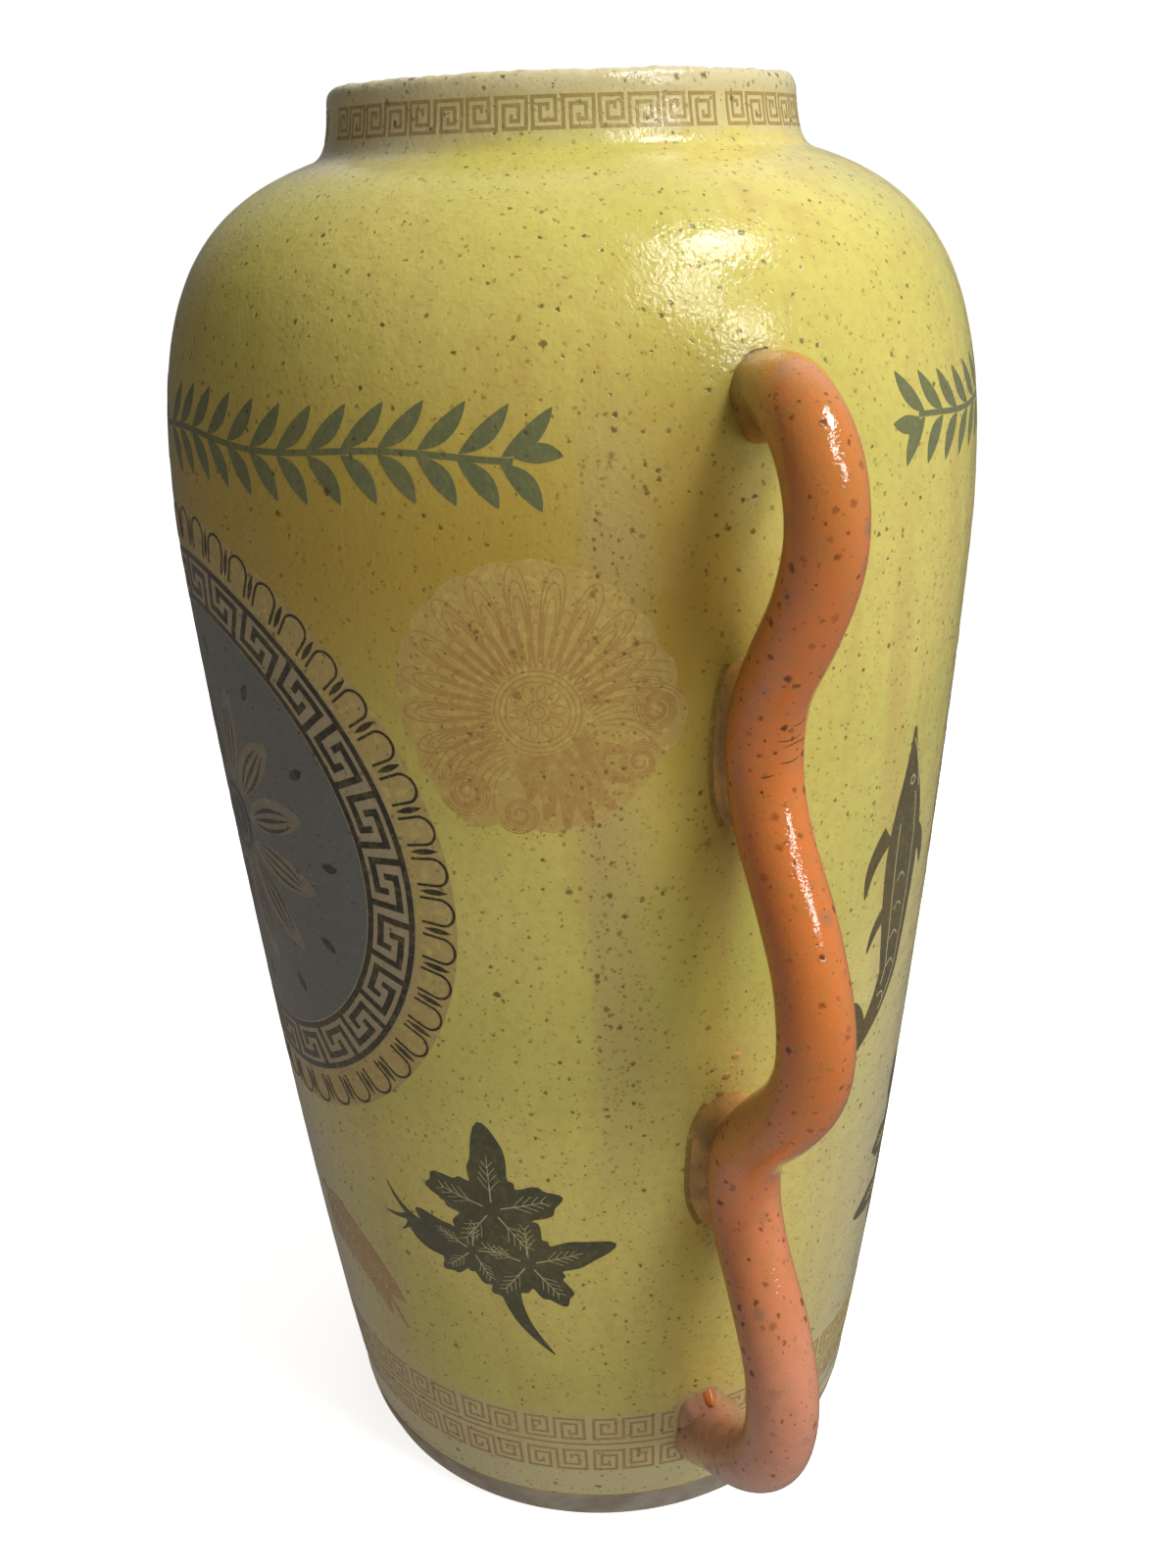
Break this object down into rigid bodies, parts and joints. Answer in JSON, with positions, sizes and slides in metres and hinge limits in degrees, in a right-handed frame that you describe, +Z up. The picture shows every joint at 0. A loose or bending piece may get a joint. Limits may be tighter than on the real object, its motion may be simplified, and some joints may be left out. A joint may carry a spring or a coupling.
{
  "type": "amphora vase",
  "caption": "Tall glazed stoneware amphora with a swelling body, round shoulder, short neck, rolled rim and a wavy coil handle down each side.",
  "frame": {"origin": "on the ground, at the middle of the foot ring", "axes": "+Z up along the vase's axis of turning; the handles lie in the XZ plane, the right one towards +X; -Y is the side of the large roundel"},
  "size_m": [0.3698, 0.27, 0.4969],
  "materials": {
    "yellow_glaze": "satin-gloss lime yellow glaze over iron-speckled stoneware",
    "orange_glaze": "very glossy orange glaze with dark brown spots",
    "rim_glaze": "thin tan glaze, rough with specks, broken over the rim's edge",
    "bare_stoneware": "unglazed grey-brown fired clay, matt"
  },
  "bodies": {
    "root": {"floor_slab": "yellow_glaze", "foot_ring": "bare_stoneware", "handle_left": "orange_glaze", "handle_right": "orange_glaze", "left_lower_contact_pad": "yellow_glaze", "left_lower_root_pad": "orange_glaze", "left_upper_contact_pad": "yellow_glaze", "left_upper_root_pad": "orange_glaze", "lower_wall": "yellow_glaze", "middle_wall": "yellow_glaze", "neck_collar": "yellow_glaze", "right_lower_contact_pad": "yellow_glaze", "right_lower_root_pad": "orange_glaze", "right_upper_contact_pad": "yellow_glaze", "right_upper_root_pad": "orange_glaze", "rim_roll": "rim_glaze", "shoulder": "yellow_glaze", "upper_wall": "yellow_glaze"}
  },
  "joints": []
}
